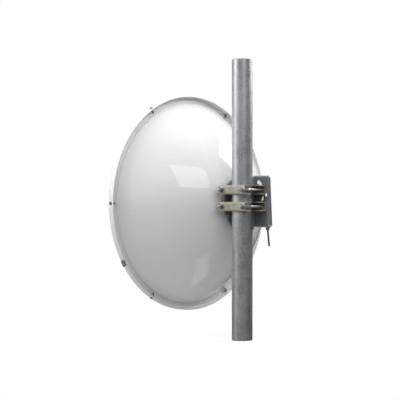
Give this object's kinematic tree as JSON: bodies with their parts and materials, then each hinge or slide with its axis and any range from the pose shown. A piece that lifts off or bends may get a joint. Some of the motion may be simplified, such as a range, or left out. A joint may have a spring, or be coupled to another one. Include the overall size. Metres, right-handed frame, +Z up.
{
  "type": "outdoor wireless bridge",
  "caption": "Deep parabolic dish radio with a radome, clamped to a mast tube by a swivelling and tilting bracket with a screw jack; links two networks over the air.",
  "frame": {"origin": "centre of the mast tube's foot", "axes": "+Z up along the mast, the beam leaves along -Y, +X to the left as seen from behind the dish"},
  "size_m": [0.6564, 0.385, 0.81],
  "materials": {
    "white_paint": "gloss white paint on spun sheet",
    "radome_plastic": "satin white weatherproof plastic",
    "galvanised_tube": "hot-dip galvanised, dull spangle",
    "galvanised_sheet": "grey galvanised sheet",
    "yellow_zinc": "pale yellow-olive zinc passivation",
    "stainless": "bright turned steel",
    "blackened_steel": "dark olive zinc thread",
    "seal_rubber": "matt black",
    "port_plastic": "fine matt grain",
    "cast_aluminium": "fine cast",
    "board_laminate": "green solder mask",
    "cone_plastic": "natural moulded"
  },
  "bodies": {
    "mast": {"mast": "galvanised_tube"},
    "bracket": {"mast_plate": "galvanised_sheet", "saddle_upper": "yellow_zinc", "saddle_lower": "yellow_zinc", "channel_upper": "yellow_zinc", "channel_lower": "yellow_zinc", "clamp_studs": "stainless", "clamp_washers": "stainless", "clamp_nuts": "stainless", "pivot_stud": "stainless", "pivot_spacer": "stainless", "pivot_washer": "stainless", "pivot_nut": "stainless", "jack_nuts": "blackened_steel", "jack_washers": "stainless", "earth_screw": "stainless"},
    "head": {"tilt_wing": "galvanised_sheet", "trunnion": "stainless", "wing_bolts": "stainless", "wing_nuts": "stainless", "lock_bolts": "stainless", "lock_washers": "stainless", "lock_spacers": "stainless", "lock_nuts": "stainless", "hub_plate": "galvanised_sheet", "hub_bolts": "stainless", "hub_washers": "stainless", "reflector": "white_paint", "rim_gasket": "seal_rubber", "radome": "radome_plastic", "rim_screws": "stainless", "rim_nuts": "stainless", "rim_clip": "stainless", "rim_clip_rivets": "stainless", "port_housing": "port_plastic", "port_jack": "port_plastic", "vent_plug": "seal_rubber", "radio_housing": "cast_aluminium", "radio_lid": "cast_aluminium", "circuit_board": "board_laminate", "shield_can": "cast_aluminium", "feed_tube": "cast_aluminium", "feed_cone": "cone_plastic", "subreflector": "cast_aluminium"},
    "jack": {"jack_screw": "blackened_steel"}
  },
  "joints": [
    {"name": "azimuth", "type": "hinge", "parent": "mast", "child": "bracket", "pos_m": [0, 0, 0.395], "axis": [0, 0, 1], "continuous": true},
    {"name": "elevation", "type": "hinge", "parent": "bracket", "child": "head", "pos_m": [-0.064, -0.022, 0.4095], "axis": [-1, 0, 0], "range_deg": [-10, 10]},
    {"name": "jack_travel", "type": "slide", "parent": "bracket", "child": "jack", "axis": [0, 0.1219, -0.9925], "range_m": [-0.0104, 0.0104]}
  ],
  "couplings": [
    {"joint": "jack_travel", "follows": "elevation", "m_per_rad": 0.05834}
  ]
}
